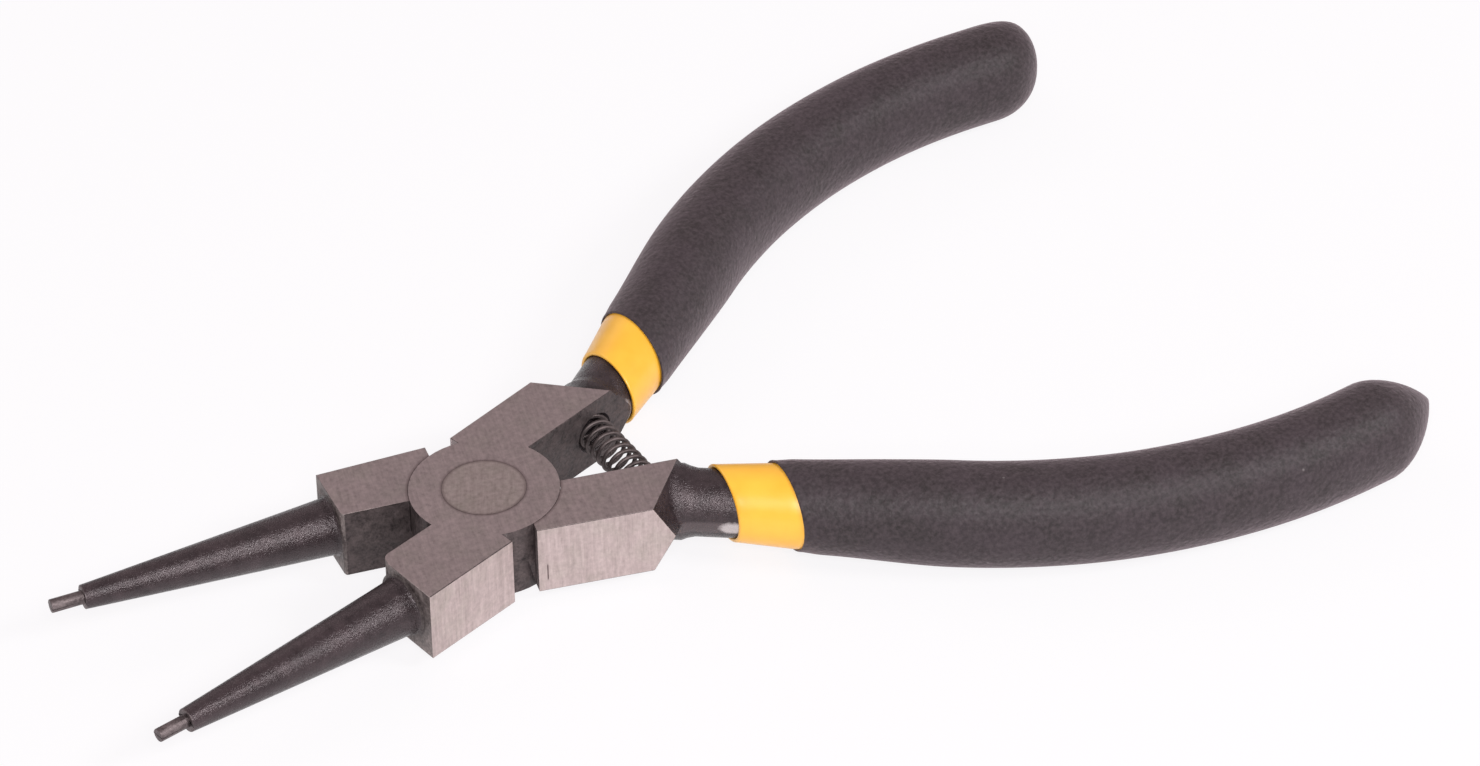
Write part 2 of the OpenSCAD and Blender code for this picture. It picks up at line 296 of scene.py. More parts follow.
def sleeve_rings():
    bore = BAR_R + SLEEVE_GAP
    rings = bore_rings(bore, INNER_END, INNER_MOUTH, INNER_LIP, INNER_LIP_L)
    for s in np.linspace(BAND_FROM, BAND_TO, BAND_STEPS):
        r = BAR_R + INNER_LIP + (INNER_WALL - INNER_LIP) * min(1.0, s / BAND_L)
        rings.append(ring_at(s, r, r, lean=lean_at(s, INNER_MOUTH)))
    for s in np.linspace(COVERED_FROM, BORE_END, COVERED_STEPS):
        rings.append(ring_at(s, INNER_R, INNER_R, lean=lean_at(s, INNER_MOUTH)))
    rings += round_end(BORE_END, INNER_R, END_TURNS)
    return rings, tip_at(INNER_END + bore), tip_at(BORE_END + INNER_R)


# Black grip over it: a slow swell, a slightly wavy skin, and ends a little more pointed than in the CAD
GRIP_LIP_L = 0.2
LIP_RISE_L = 3
LIP_RISE = 0.25
SKIN_FROM = BAND_L + 0.6
SKIN_STEPS = 90
DOME_TURNS = [math.radians(e) for e in np.linspace(6, 84, 14)]
POINT = {"upper": 2.0, "lower": 1.6}
BLUNT = {"upper": 0.31, "lower": 0.85}
TIP_IN = 0.03
WAVE_D = 0.07
WAVE_L = 9.0
WAVE_SEED = {"upper": 3.0, "lower": 47.0}


def full_at(s):
    return smooth((s - BAND_L) / GRIP_SWELL)


def grown(s, full):
    lip = BORE_R + GRIP_LIP
    rise = LIP_RISE * smooth((s - BAND_L) / LIP_RISE_L) + (1 - LIP_RISE) * full_at(s)
    return lip + (INNER_R + full - lip) * rise


def narrow(s):
    return 1 - GRIP_TAPER * smooth((s - BAR_STRAIGHT) / (BORE_END - BAR_STRAIGHT))


def uneven(ring, s, side):
    mid = np.array([*point_at(s), 0])
    out = ring.copy()
    for i, p in enumerate(ring):
        n = noise.noise(Vector((p[0] / WAVE_L + WAVE_SEED[side], p[1] / WAVE_L, p[2] / WAVE_L)))
        pull = WAVE_D * (0.5 + 0.5 * n)
        d = p - mid
        out[i] = p - d / np.linalg.norm(d) * pull
    return out


def skin_ring(s, share, side, shift=0.0):
    part = share * narrow(s)
    wide = part * grown(s, GRIP_SIDE)
    thick = part * grown(s, GRIP_TOP)
    ring = ring_at(s, wide, thick, full_at(s), lean_at(s, BAND_L), shift)
    return uneven(ring, s, side)


def grip_rings(side):
    grip_end = BORE_END + INNER_R + CAP[side] - TIP_IN
    dome_l = DOME[side] - TIP_IN
    dome_at = grip_end - dome_l
    rings = bore_rings(BORE_R, BORE_END, BAND_L, GRIP_LIP, GRIP_LIP_L)
    for s in np.linspace(SKIN_FROM, dome_at, SKIN_STEPS):
        rings.append(skin_ring(s, 1, side))
    for e in DOME_TURNS:
        out = math.sin(e)
        share = (1 - out ** POINT[side]) ** BLUNT[side]
        rings.append(skin_ring(dome_at + dome_l * out, share, side, BULGE[side] * out ** 2))
    return rings, tip_at(BORE_END + BORE_R), tip_at(grip_end, BULGE[side])


# Spring wire, wound along Y between the pocket floors with a closed turn at each end
COIL_STEPS = 28
WIRE_SIDES = 12
WIRE_TURN = np.linspace(0, 2 * math.pi, WIRE_SIDES, endpoint=False)
CLOSED_SLACK = 1.03
CLOSED_PITCH = 2 * WIRE_R * CLOSED_SLACK


def spring_rings():
    low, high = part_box("return_spring")
    length = (high.y - low.y) / MM - 2 * WIRE_R
    pitch = (length - 2 * CLOSED_PITCH) / (TURNS - 2)
    r = SPRING_R + WIRE_R * np.cos(WIRE_TURN)
    rings = []
    for i in range(TURNS * COIL_STEPS + 1):
        t = i / COIL_STEPS
        if t < 1:
            y = t * CLOSED_PITCH
        elif t < TURNS - 1:
            y = CLOSED_PITCH + (t - 1) * pitch
        else:
            y = length - (TURNS - t) * CLOSED_PITCH
        a = 2 * math.pi * t
        rings.append(np.column_stack([
            SPRING_X + r * math.cos(a),
            y - length / 2 + WIRE_R * np.sin(WIRE_TURN),
            HALF_T + r * math.sin(a),
        ]))
    return rings, length


# Shader helpers
NO_TURN = (0, 0, 0)


def wire(mat, a, b):
    mat.node_tree.links.new(a, b)


def material(name):
    mat = bpy.data.materials.new(name)
    mat.use_nodes = True
    nodes = mat.node_tree.nodes
    nodes.clear()
    out = nodes.new("ShaderNodeOutputMaterial")
    shader = nodes.new("ShaderNodeBsdfPrincipled")
    wire(mat, shader.outputs["BSDF"], out.inputs["Surface"])
    return mat, shader


def coords(mat, scale, turn=NO_TURN):
    nodes = mat.node_tree.nodes
    tex = nodes.new("ShaderNodeTexCoord")
    spin = nodes.new("ShaderNodeMapping")
    spin.inputs["Rotation"].default_value = turn
    size = nodes.new("ShaderNodeMapping")
    size.inputs["Scale"].default_value = scale
    wire(mat, tex.outputs["Object"], spin.inputs["Vector"])
    wire(mat, spin.outputs["Vector"], size.inputs["Vector"])
    return size.outputs["Vector"]


def cloud(mat, vector, detail, rough, scale=1.0):
    node = mat.node_tree.nodes.new("ShaderNodeTexNoise")
    node.inputs["Scale"].default_value = scale
    node.inputs["Detail"].default_value = detail
    node.inputs["Roughness"].default_value = rough
    wire(mat, vector, node.inputs["Vector"])
    return node.outputs["Fac"]


# Noise that is alike in every direction, of the given number of grains to the metre
def even_cloud(mat, grains, detail, rough):
    return cloud(mat, coords(mat, (grains, grains, grains)), detail, rough)


def cells(mat, vector, scale, feature="F1"):
    node = mat.node_tree.nodes.new("ShaderNodeTexVoronoi")
    node.feature = feature
    node.inputs["Scale"].default_value = scale
    wire(mat, vector, node.inputs["Vector"])
    return node.outputs["Distance"]


# Colours from dark to light while the value goes from one number to the other
def ramp(mat, value, dark, light, start, end):
    node = mat.node_tree.nodes.new("ShaderNodeValToRGB")
    first, last = node.color_ramp.elements
    first.position = start
    first.color = (*dark, 1)
    last.position = end
    last.color = (*light, 1)
    wire(mat, value, node.inputs["Fac"])
    return node.outputs["Color"]


# A number from low to high while the value goes from start to end
def spread(mat, value, low, high, start=0.0, end=1.0):
    node = mat.node_tree.nodes.new("ShaderNodeMapRange")
    node.inputs["From Min"].default_value = start
    node.inputs["From Max"].default_value = end
    node.inputs["To Min"].default_value = low
    node.inputs["To Max"].default_value = high
    wire(mat, value, node.inputs["Value"])
    return node.outputs["Result"]


# A mix of a linked colour and a plain one; of the node's sockets, 6 and 7 take colours and 2 gives one
def mix(mat, factor, linked, plain, kind="MIX"):
    node = mat.node_tree.nodes.new("ShaderNodeMix")
    node.data_type = "RGBA"
    node.blend_type = kind
    wire(mat, factor, node.inputs[0])
    wire(mat, linked, node.inputs[6])
    node.inputs[7].default_value = (*plain, 1)
    return node.outputs[2]


def maths(mat, kind, a, b):
    node = mat.node_tree.nodes.new("ShaderNodeMath")
    node.operation = kind
    for socket, value in zip(node.inputs, (a, b)):
        if isinstance(value, (int, float)):
            socket.default_value = value
        else:
            wire(mat, value, socket)
    return node.outputs[0]


def blend_of(mat, a, b, share):
    return maths(mat, "ADD", maths(mat, "MULTIPLY", a, share), maths(mat, "MULTIPLY", b, 1 - share))


def bump(mat, shader, height, strength, depth, below=None):
    node = mat.node_tree.nodes.new("ShaderNodeBump")
    node.inputs["Strength"].default_value = strength
    node.inputs["Distance"].default_value = depth
    wire(mat, height, node.inputs["Height"])
    if below is not None:
        wire(mat, below, node.inputs["Normal"])
    wire(mat, node.outputs["Normal"], shader.inputs["Normal"])
    return node.outputs["Normal"]


# A share of a plain colour laid over the colour that a shader has so far, where the mask is 1
def stain(mat, shader, mask, share, colour):
    so_far = shader.inputs["Base Color"].links[0].from_socket
    laid = mix(mat, maths(mat, "MULTIPLY", mask, share), so_far, colour)
    wire(mat, laid, shader.inputs["Base Color"])


# Centre and turn of a patch on a bar, by its place along the bar, out from the axis and above the lap
def on_bar(side, s, u, z):
    p = MOUTH + s * ALONG + u * np.array([-ALONG[1], ALONG[0]])
    centre = to_row(set_by(np.array([[p[0], p[1], z]]), side), side)[0]
    return centre, FLIP[side] * (REST_HALF + BAR_ANGLE + HANDLE_TILT[side])


# Object coordinates in a turned frame, in which the given half sizes are 1
def turned_place(mat, centre, turn, size):
    nodes = mat.node_tree.nodes
    tex = nodes.new("ShaderNodeTexCoord")
    place = nodes.new("ShaderNodeMapping")
    place.vector_type = "TEXTURE"
    place.inputs["Location"].default_value = centre
    place.inputs["Rotation"].default_value = (0, 0, turn)
    place.inputs["Scale"].default_value = [v * MM for v in size]
    wire(mat, tex.outputs["Object"], place.inputs["Vector"])
    return place.outputs["Vector"]


# 1 inside a turned box of the given half sizes, 0 outside it
def box_mask(mat, centre, turn, size, soft):
    nodes = mat.node_tree.nodes
    away = nodes.new("ShaderNodeVectorMath")
    away.operation = "ABSOLUTE"
    wire(mat, turned_place(mat, centre, turn, size), away.inputs[0])
    split = nodes.new("ShaderNodeSeparateXYZ")
    wire(mat, away.outputs["Vector"], split.inputs[0])
    flat = maths(mat, "MAXIMUM", split.outputs[0], split.outputs[1])
    return spread(mat, maths(mat, "MAXIMUM", flat, split.outputs[2]), 1.0, 0.0, 1 - soft, 1.0)


# The same for a round patch with a ragged rim
RAG_GRAINS = 1800
RAG = 0.3


def round_mask(mat, centre, turn, size, soft):
    reach = mat.node_tree.nodes.new("ShaderNodeVectorMath")
    reach.operation = "LENGTH"
    wire(mat, turned_place(mat, centre, turn, size), reach.inputs[0])
    ragged = spread(mat, even_cloud(mat, RAG_GRAINS, detail=3.0, rough=0.55), -RAG, RAG)
    return spread(mat, maths(mat, "ADD", reach.outputs["Value"], ragged), 1.0, 0.0, 1 - soft, 1.0)


# 1 on a circle about the pivot axis, 0 away from it
def ring_mask(mat, radius, width):
    nodes = mat.node_tree.nodes
    tex = nodes.new("ShaderNodeTexCoord")
    flat = nodes.new("ShaderNodeVectorMath")
    flat.operation = "MULTIPLY"
    flat.inputs[1].default_value = (1, 1, 0)
    wire(mat, tex.outputs["Object"], flat.inputs[0])
    reach = nodes.new("ShaderNodeVectorMath")
    reach.operation = "LENGTH"
    wire(mat, flat.outputs["Vector"], reach.inputs[0])
    off = maths(mat, "SUBTRACT", reach.outputs["Value"], radius * MM)
    return spread(mat, maths(mat, "ABSOLUTE", off, 0.0), 1.0, 0.0, 0.0, width * MM)


# 1 on the side of a half where the other half's lap disc lies in it, 0 on the side of its own disc
def beside_disc(mat, side):
    nodes = mat.node_tree.nodes
    tex = nodes.new("ShaderNodeTexCoord")
    split = nodes.new("ShaderNodeSeparateXYZ")
    wire(mat, tex.outputs["Object"], split.inputs[0])
    kind = "GREATER_THAN" if side == "lower" else "LESS_THAN"
    return maths(mat, kind, split.outputs[2], HALF_T * MM)


# Ground steel: wheel marks running one way over blotches of tone, with dirt in the seam round the rivet
TOP_MARKS = (2600, 260, 2600)
TOP_TURN = (0, 0, math.radians(17))
TOP_LINES = 0.45
TOP_DARK = (0.303, 0.249, 0.249)
TOP_LIGHT = (0.51, 0.42, 0.42)
RIVET_TURN = (0, 0, math.radians(31))
RIVET_LINES = 0.4
RIVET_DARK = (0.326, 0.268, 0.256)
RIVET_LIGHT = (0.542, 0.46, 0.445)
SIDE_MARKS = (1900, 1900, 200)
SIDE_LINES = 0.6
SIDE_DARK = (0.51, 0.419, 0.41)
SIDE_LIGHT = (0.75, 0.622, 0.61)
BLOTCH_GRAINS = 1500
HUE_GRAINS = 300
OLIVE = (0.9, 0.95, 0.9)
# Dark seam colour: dirt round the rivet and in the nick, and painted shade beside the lap discs
SEAM_DIRT_AND_SHADE = (0.12, 0.078, 0.08)
SEAM_W = 0.42
SEAM_SHARE = 0.55


def ground_steel(name, turn, marks, lines, dark, light):
    mat, shader = material(name)
    shader.inputs["Metallic"].default_value = 1.0
    fine = cloud(mat, coords(mat, marks, turn), detail=5.0, rough=0.7)
    patch = even_cloud(mat, BLOTCH_GRAINS, detail=5.0, rough=0.65)
    both = blend_of(mat, fine, patch, lines)
    tone = ramp(mat, both, dark, light, start=0.34, end=0.66)
    hue = spread(mat, even_cloud(mat, HUE_GRAINS, detail=3.0, rough=0.6), 0.0, 0.6, start=0.45, end=0.7)
    wire(mat, mix(mat, hue, tone, OLIVE, "MULTIPLY"), shader.inputs["Base Color"])
    stain(mat, shader, ring_mask(mat, RIVET_HEAD_R, SEAM_W), SEAM_SHARE, SEAM_DIRT_AND_SHADE)
    wire(mat, spread(mat, both, 0.66, 0.52, start=0.3, end=0.7), shader.inputs["Roughness"])
    first = bump(mat, shader, fine, strength=0.25, depth=0.00002)
    bump(mat, shader, patch, strength=0.12, depth=0.00006, below=first)
    return mat, shader


# Ground top with painted shade along the seam round the other half's disc, where the slit is seen nearly
# closed
SEEN_GAP = 0.06
LAP_SHADE_W = 0.4
LAP_SHADE_SHARE = 0.6


def top_with_lap_shade(name, side):
    mat, shader = ground_steel(name, TOP_TURN, TOP_MARKS, TOP_LINES, TOP_DARK, TOP_LIGHT)
    # Painted shade: a dark ring just outside the other half's disc, on this half's side of the lap
    rim = maths(mat, "MULTIPLY", ring_mask(mat, DISC_R + SEEN_GAP, LAP_SHADE_W), beside_disc(mat, side))
    stain(mat, shader, rim, LAP_SHADE_SHARE, SEAM_DIRT_AND_SHADE)
    return mat


# Ground side with a short dark nick in the lower half's outer face, near the joint
NICK_AT = np.array([[5.25, 10.5, 2.08]])
NICK_TURN = math.radians(-16.6)
NICK_SIZE = (0.1, 0.5, 1.4)
NICK_SOFT = 0.25
NICK_SHARE = 0.85


def nicked_side(name):
    mat, shader = ground_steel(name, NO_TURN, SIDE_MARKS, SIDE_LINES, SIDE_DARK, SIDE_LIGHT)
    nick = box_mask(mat, to_row(NICK_AT, "lower")[0], NICK_TURN, NICK_SIZE, NICK_SOFT)
    stain(mat, shader, nick, NICK_SHARE, SEAM_DIRT_AND_SHADE)
    return mat


# Round forged steel under pitted black oxide, with pale trimmed strips along the bars, worn bright in places
OXIDE_DARK = (0.031, 0.021, 0.0238)
OXIDE_LIGHT = (0.066, 0.0455, 0.0505)
BROAD_SHARE = 0.7
TRIM = (0.13, 0.1, 0.105)
TRIM_LIFT = 0.6
TRIM_SOFT = 0.35
TRIM_SHARE = 0.6
LONG_TRIM_AT = -2.2
LONG_TRIM = (4.5, 0.7, 1.1)
SHORT_TRIM_AT = 0.6
SHORT_TRIM = (2.2, 0.7, 1.1)
BARE = (0.60, 0.54, 0.54)
BARE_SOFT = 0.4
OUTER_BARE_AT = 1.6
OUTER_BARE = (1.9, 1.2, 1.15)
INNER_BARE_AT = -3.2
INNER_BARE = (0.9, 1.2, 2.1)
INNER_BARE_SHARE = 0.55


def forged_steel(name):
    mat, shader = material(name)
    shader.inputs["Specular IOR Level"].default_value = 0.65
    broad = even_cloud(mat, grains=420, detail=4.0, rough=0.6)
    mottle = even_cloud(mat, grains=1500, detail=4.0, rough=0.65)
    pits = even_cloud(mat, grains=4200, detail=3.0, rough=0.6)
    both = blend_of(mat, broad, mottle, BROAD_SHARE)
    tone = ramp(mat, both, OXIDE_DARK, OXIDE_LIGHT, start=0.34, end=0.66)
    wire(mat, tone, shader.inputs["Base Color"])
    strips = (
        (on_bar("lower", LONG_TRIM_AT, BAR_R, TRIM_LIFT), LONG_TRIM),
        (on_bar("upper", LONG_TRIM_AT, -BAR_R, 0.0), LONG_TRIM),
        (on_bar("upper", SHORT_TRIM_AT, BAR_R, TRIM_LIFT), SHORT_TRIM),
        (on_bar("lower", SHORT_TRIM_AT, -BAR_R, 0.0), SHORT_TRIM),
    )
    for place, size in strips:
        stain(mat, shader, box_mask(mat, *place, size, TRIM_SOFT), TRIM_SHARE, TRIM)
    outer_place = on_bar("lower", OUTER_BARE_AT, BAR_R, TRIM_LIFT)
    inner_place = on_bar("upper", INNER_BARE_AT, -BAR_R, 0.0)
    outer = round_mask(mat, *outer_place, OUTER_BARE, BARE_SOFT)
    inner = round_mask(mat, *inner_place, INNER_BARE, BARE_SOFT)
    bare = maths(mat, "MAXIMUM", outer, maths(mat, "MULTIPLY", inner, INNER_BARE_SHARE))
    stain(mat, shader, bare, 1.0, BARE)
    wire(mat, spread(mat, bare, 0.4, 0.95), shader.inputs["Metallic"])
    wire(mat, spread(mat, mottle, 0.2, 0.36, start=0.35, end=0.65), shader.inputs["Roughness"])
    first = bump(mat, shader, mottle, strength=0.4, depth=0.0002)
    bump(mat, shader, pits, strength=0.7, depth=0.00012, below=first)
    return mat


# Flat forged and machined faces, and the pins: duller, browner and scuffed
FLAT_DARK = (0.03, 0.0222, 0.023)
FLAT_LIGHT = (0.135, 0.105, 0.105)
FLAT_METAL = 0.5
PIN_DARK = (0.085, 0.068, 0.07)
PIN_LIGHT = (0.25, 0.207, 0.21)
PIN_METAL = 0.9
SCUFF_SHARE = 0.6


def flat_steel(name, dark, light, metal):
    mat, shader = material(name)
    shader.inputs["Metallic"].default_value = metal
    broad = even_cloud(mat, grains=650, detail=5.0, rough=0.65)
    fine = even_cloud(mat, grains=2400, detail=3.0, rough=0.6)
    both = blend_of(mat, broad, fine, SCUFF_SHARE)
    wire(mat, ramp(mat, both, dark, light, start=0.35, end=0.65), shader.inputs["Base Color"])
    wire(mat, spread(mat, broad, 0.42, 0.64, start=0.35, end=0.65), shader.inputs["Roughness"])
    first = bump(mat, shader, broad, strength=0.5, depth=0.0003)
    bump(mat, shader, fine, strength=0.5, depth=0.0001, below=first)
    return mat, shader


# The jaws' front faces, brighter at the corners than round the roots of the cones, where the darkening is
# painted shade
FRONT_DARK = (0.09, 0.073, 0.07)
FRONT_LIGHT = (0.36, 0.305, 0.295)
FRONT_METAL = 0.6
ROOT_AT = np.array([[-19.3, CONE_Y, 0.0]])
ROOT_SIZE = (5.5, 5.5, 5.5)
ROOT_SOFT = 0.3
ROOT_SHARE = 0.8
ROOT_SHADE = (0.04, 0.03, 0.0305)


def front_steel(name):
    mat, shader = flat_steel(name, FRONT_DARK, FRONT_LIGHT, FRONT_METAL)
    for side in HALVES:
        # Painted shade round the root of each cone on the front face
        root = round_mask(mat, to_row(ROOT_AT, side)[0], 0, ROOT_SIZE, ROOT_SOFT)
        stain(mat, shader, root, ROOT_SHARE, ROOT_SHADE)
    return mat


# Drawn spring wire, dark and half dull
WIRE_DARK = (0.072, 0.057, 0.057)
WIRE_LIGHT = (0.172, 0.14, 0.139)


def spring_steel(name):
    mat, shader = material(name)
    shader.inputs["Metallic"].default_value = 0.85
    shade = even_cloud(mat, grains=1100, detail=4.0, rough=0.65)
    wire(mat, ramp(mat, shade, WIRE_DARK, WIRE_LIGHT, start=0.3, end=0.7), shader.inputs["Base Color"])
    wire(mat, spread(mat, shade, 0.46, 0.6, start=0.3, end=0.7), shader.inputs["Roughness"])
    bump(mat, shader, shade, strength=0.3, depth=0.00004)
    return mat


# Glossy yellow vinyl, a little uneven in tone, with faint smudges
YELLOW_DARK = (0.92, 0.45, 0.032)
YELLOW_LIGHT = (1.0, 0.55, 0.055)
SMUDGE = (0.74, 0.36, 0.035)


def yellow_vinyl(name):
    mat, shader = material(name)
    shader.inputs["Coat Weight"].default_value = 0.35
    shader.inputs["Coat Roughness"].default_value = 0.3
    tone = even_cloud(mat, grains=130, detail=3.0, rough=0.5)
    fine = even_cloud(mat, grains=1500, detail=3.0, rough=0.6)
    dirt = even_cloud(mat, grains=210, detail=2.0, rough=0.5)
    base = ramp(mat, tone, YELLOW_DARK, YELLOW_LIGHT, start=0.3, end=0.7)
    smudged = spread(mat, dirt, 0.0, 0.35, start=0.56, end=0.8)
    wire(mat, mix(mat, smudged, base, SMUDGE), shader.inputs["Base Color"])
    wire(mat, spread(mat, fine, 0.3, 0.42, start=0.3, end=0.7), shader.inputs["Roughness"])
    bump(mat, shader, fine, strength=0.08, depth=0.00004)
    return mat


# Black vinyl with a fine pebble grain, a bloom on it at low angles and a few pale specks
BLACK_DARK = (0.02, 0.015, 0.016)
BLACK_LIGHT = (0.031, 0.022, 0.0262)
GRAIN_LIGHT = (0.083, 0.063, 0.071)
GRAIN_SHARE = 0.5
BLOOM = (0.8, 0.62, 0.68, 1)
DUST = (0.4, 0.37, 0.36)
DUST_SHARE = 0.25


def black_vinyl(name):
    mat, shader = material(name)
    shader.inputs["Specular IOR Level"].default_value = 0.35
    shader.inputs["Sheen Weight"].default_value = 0.28
    shader.inputs["Sheen Roughness"].default_value = 0.45
    shader.inputs["Sheen Tint"].default_value = BLOOM
    place = coords(mat, (1, 1, 1))
    pebble = cells(mat, place, scale=1250.0, feature="SMOOTH_F1")
    leather = cloud(mat, place, detail=3.0, rough=0.6, scale=1800.0)
    fine = cloud(mat, place, detail=3.0, rough=0.6, scale=2600.0)
    tone = cloud(mat, place, detail=3.0, rough=0.55, scale=230.0)
    dust = cells(mat, place, scale=190.0)
    base = ramp(mat, tone, BLACK_DARK, BLACK_LIGHT, start=0.35, end=0.65)
    wire(mat, base, shader.inputs["Base Color"])
    raised = spread(mat, leather, 0.0, 1.0, start=0.36, end=0.68)
    stain(mat, shader, raised, GRAIN_SHARE, GRAIN_LIGHT)
    speck = spread(mat, dust, 1.0, 0.0, start=0.02, end=0.045)
    stain(mat, shader, speck, DUST_SHARE, DUST)
    wire(mat, spread(mat, fine, 0.5, 0.64, start=0.35, end=0.65), shader.inputs["Roughness"])
    ridge = spread(mat, pebble, 1.0, 0.0, start=0.1, end=0.6)
    first = bump(mat, shader, ridge, strength=0.5, depth=0.00009)
    second = bump(mat, shader, leather, strength=0.6, depth=0.00014, below=first)
    bump(mat, shader, fine, strength=0.3, depth=0.00004, below=second)
    return mat


# The materials of all pieces
ground_top = {side: top_with_lap_shade("ground_top_" + side, side) for side in HALVES}
ground_rivet = ground_steel("ground_rivet", RIVET_TURN, TOP_MARKS, RIVET_LINES, RIVET_DARK, RIVET_LIGHT)[0]
ground_side = nicked_side("ground_side")
forged = forged_steel("forged_oxide")
forged_flat = flat_steel("forged_flat", FLAT_DARK, FLAT_LIGHT, FLAT_METAL)[0]
jaw_front = front_steel("jaw_front")
pin_steel = flat_steel("pin_steel", PIN_DARK, PIN_LIGHT, PIN_METAL)[0]
spring_mat = spring_steel("spring_steel")
yellow = yellow_vinyl("yellow_dip")
black = black_vinyl("black_dip")

# Edges left as they are: the lap with its circles, the bar with its neck, and the fillet at the cone's root
LAP_FLAT = 0.1
RIVET_CLEAR = 6.0
NECK_FROM = -12
NECK_R = 5.2
ROOT_FROM = -22
ROOT_TO = -17.5
ROOT_CLEAR = 4.8


def in_neck(p, side):
    s, u = bar_frame(p, side)
    return s > NECK_FROM and math.hypot(u, p.z) < NECK_R


def plain_edge(p, side):
    reach = math.hypot(p.x, p.y)
    lap = abs(p.z) < LAP_FLAT or reach < RIVET_CLEAR or abs(reach - DISC_R) < 2 * DISC_GAP
    root = ROOT_FROM < p.x < ROOT_TO and math.hypot(p.y - CONE_Y, p.z) < ROOT_CLEAR
    return lap or root or in_neck(p, side)


# The slit round each lap disc nearly closes, as on the tool
ON_SLIT = 0.02


def close_slit(bm):
    for v in bm.verts:
        reach = math.hypot(v.co.x, v.co.y) / MM
        if abs(reach - DISC_R - DISC_GAP) < ON_SLIT:
            pull = (DISC_R + SEEN_GAP) / reach
            v.co.x *= pull
            v.co.y *= pull


# Steel pieces: the CAD mesh welded, with a half's sharp outer edges broken
EDGE_BREAK = 0.09 * MM
WELD = 0.001 * MM
FLAT = math.radians(0.4)
SHARP = math.radians(28)
CREASE = math.radians(50)


def sharp_edges(bm, side):
    edges = []
    for e in bm.edges:
        if len(e.link_faces) != 2:
            continue
        mid = (e.verts[0].co + e.verts[1].co) / 2
        if e.calc_face_angle_signed(0.0) > SHARP and not plain_edge(to_half(mid, side), side):
            edges.append(e)
    return edges


def steel_piece(node, name, side=None):
    bm = bmesh.new()
    bm.from_mesh(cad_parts[node].data)
    bmesh.ops.remove_doubles(bm, verts=bm.verts, dist=WELD)
    bmesh.ops.dissolve_limit(bm, angle_limit=FLAT, verts=bm.verts, edges=bm.edges)
    if side:
        close_slit(bm)
        bmesh.ops.bevel(
            bm, geom=sharp_edges(bm, side), offset=EDGE_BREAK, offset_type="OFFSET", segments=2,
            profile=0.5, affect="EDGES", clamp_overlap=False, loop_slide=True, material=-1,
        )
    bmesh.ops.dissolve_degenerate(bm, dist=WELD, edges=bm.edges)
    bmesh.ops.recalc_face_normals(bm, faces=bm.faces)
    me = bpy.data.meshes.new(name)
    bm.to_mesh(me)
    bm.free()
    me.shade_smooth()
    me.set_sharp_from_angle(angle=CREASE)
    obj = add_object(name, me)
    even = obj.modifiers.new("even", "WEIGHTED_NORMAL")
    even.keep_sharp = True
    return obj


# Finish of each face by its place and facing, as the number of its material on the half
ROUND_FORGED, TOP_GROUND, SIDE_GROUND, FLAT_FORGED, FRONT, PIN = range(6)
ON_TOP = HALF_T - 0.03
ON_LINE = 0.08
PIN_X = -52.2
JAW_NEAR = 17.2
JAW_FACE = 18.75
JAW_END = 19.8
BACK_LINE_END = 24.1
BACK_LINE = ((BACK_STOP, BACK_OUT_JOINT), (BACK_LINE_END, BACK_OUT_END))
JAW_LINE = {side: ((-JAW_STOP, -JAW_OUT), (-JAW_END, -JAW_END_OUT[side])) for side in HALVES}
SQUARE_ON = 0.99
FACING = 0.9
CONE_FACING = 0.8
UPRIGHT = 0.3
FORWARD = 0.2


def off_line(p, a, b):
    d = Vector((b[0] - a[0], b[1] - a[1]))
    q = Vector((p.x - a[0], p.y - a[1]))
    return abs(d.x * q.y - d.y * q.x) / d.length


def finish_of(poly, side):
    c = to_half(poly.center, side)
    n = turned_back(poly.normal, side)
    if abs(n.z) > FACING and abs(c.z) > ON_TOP:
        return TOP_GROUND
    if c.x < PIN_X:
        return PIN
    if abs(n.z) < UPRIGHT:
        if c.x > 0 and off_line(c, *BACK_LINE) < ON_LINE and n.y > FACING:
            return SIDE_GROUND
        if c.x < 0 and off_line(c, *JAW_LINE[side]) < ON_LINE and n.y < -FACING:
            return SIDE_GROUND
        if side == "upper" and c.y > JAW_END_OUT[side] / 2 and n.x < -FACING:
            return TOP_GROUND
        if c.x > 0 and n.y < -SQUARE_ON:
            return FLAT_FORGED
    cone = c.x < -JAW_END or (c.x < -JAW_FACE and abs(n.x) < CONE_FACING)
    if cone or in_neck(c, side):
        return ROUND_FORGED
    return FRONT if c.x < -JAW_NEAR and n.x < -FORWARD else FLAT_FORGED


# Levers and the rivet, which is fast in the lower half
for side in HALVES:
    half = steel_piece(side + "_half", side + "_lever", side)
    for mat in (forged, ground_top[side], ground_side, forged_flat, jaw_front, pin_steel):
        half.data.materials.append(mat)
    for poly in half.data.polygons:
        poly.material_index = finish_of(poly, side)
    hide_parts(side + "_half")
    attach(half, side)

rivet = steel_piece("pivot_rivet", "joint_rivet")
rivet.data.materials.append(ground_rivet)
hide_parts("pivot_rivet")
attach(rivet, "lower")

# Grips, built on the half's own drawing and set in place with its handle
for side in HALVES:
    verts, faces = loft(*sleeve_rings())
    sleeve = mesh_piece(side + "_yellow_sleeve", to_row(set_by(verts, side), side), faces)
    sleeve.data.materials.append(yellow)
    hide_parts(side + "_grip_inner")
    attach(sleeve, side)
    verts, faces = loft(*grip_rings(side))
    grip = mesh_piece(side + "_black_grip", to_row(set_by(verts, side), side), faces)
    grip.data.materials.append(black)
    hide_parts(side + "_grip_outer")
    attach(grip, side)

